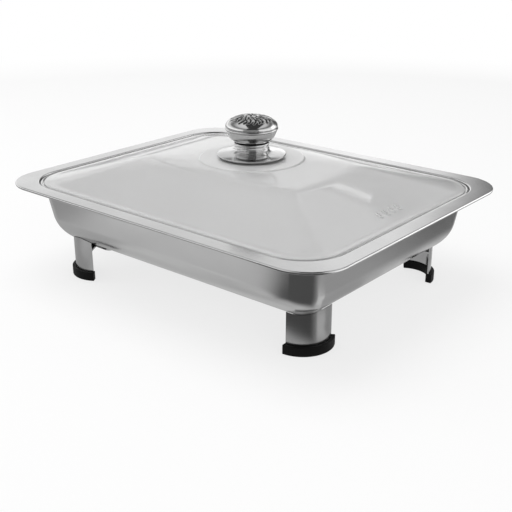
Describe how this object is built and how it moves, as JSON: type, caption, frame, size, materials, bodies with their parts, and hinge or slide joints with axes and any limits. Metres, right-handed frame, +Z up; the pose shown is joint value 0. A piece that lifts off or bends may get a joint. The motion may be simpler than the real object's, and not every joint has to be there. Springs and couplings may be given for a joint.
{
  "type": "chafing dish",
  "caption": "Rectangular steel chafing dish on curved legs, with a wide flat flange, an inner food pan and a hipped hazy plastic lid that lifts off by a metal knob.",
  "frame": {"origin": "on the table, under the middle of the dish", "axes": "+Z up, the long side along X, and the lid's vents on the +X side"},
  "size_m": [0.34, 0.272, 0.1434],
  "materials": {
    "steel": "satin rolled stainless sheet",
    "polished_steel": "polished",
    "lid_plastic": "glossy and hazy",
    "black_plastic": "moulded matte",
    "silicone": "matte",
    "zinc": "bright zinc plate"
  },
  "bodies": {
    "dish": {"water_pan": "steel", "leg_back_right": "steel", "leg_back_left": "steel", "leg_front_left": "steel", "leg_front_right": "steel", "foot_cap_back_right": "black_plastic", "foot_cap_back_left": "black_plastic", "foot_cap_front_left": "black_plastic", "foot_cap_front_right": "black_plastic", "leg_stud_back_right_1": "zinc", "leg_stud_back_right_2": "zinc", "leg_stud_back_left_1": "zinc", "leg_stud_back_left_2": "zinc", "leg_stud_front_left_1": "zinc", "leg_stud_front_left_2": "zinc", "leg_stud_front_right_1": "zinc", "leg_stud_front_right_2": "zinc", "leg_nut_back_right_1": "zinc", "leg_nut_back_right_2": "zinc", "leg_nut_back_left_1": "zinc", "leg_nut_back_left_2": "zinc", "leg_nut_front_left_1": "zinc", "leg_nut_front_left_2": "zinc", "leg_nut_front_right_1": "zinc", "leg_nut_front_right_2": "zinc"},
    "food_pan": {"food_pan": "steel"},
    "lid": {"lid": "lid_plastic", "knob_gasket": "silicone", "knob_base": "polished_steel", "knob_core": "black_plastic", "knob_bowl": "polished_steel", "knob_ring": "polished_steel", "knob_cap": "polished_steel", "lid_seal": "silicone", "lid_washer": "zinc", "knob_screw": "zinc"}
  },
  "joints": [
    {"name": "food_pan_lift", "type": "slide", "parent": "dish", "child": "food_pan", "axis": [0, 0, 1], "range_m": [0, 0.08]},
    {"name": "lid_lift", "type": "slide", "parent": "food_pan", "child": "lid", "axis": [0, 0, 1], "range_m": [0, 0.1]}
  ]
}
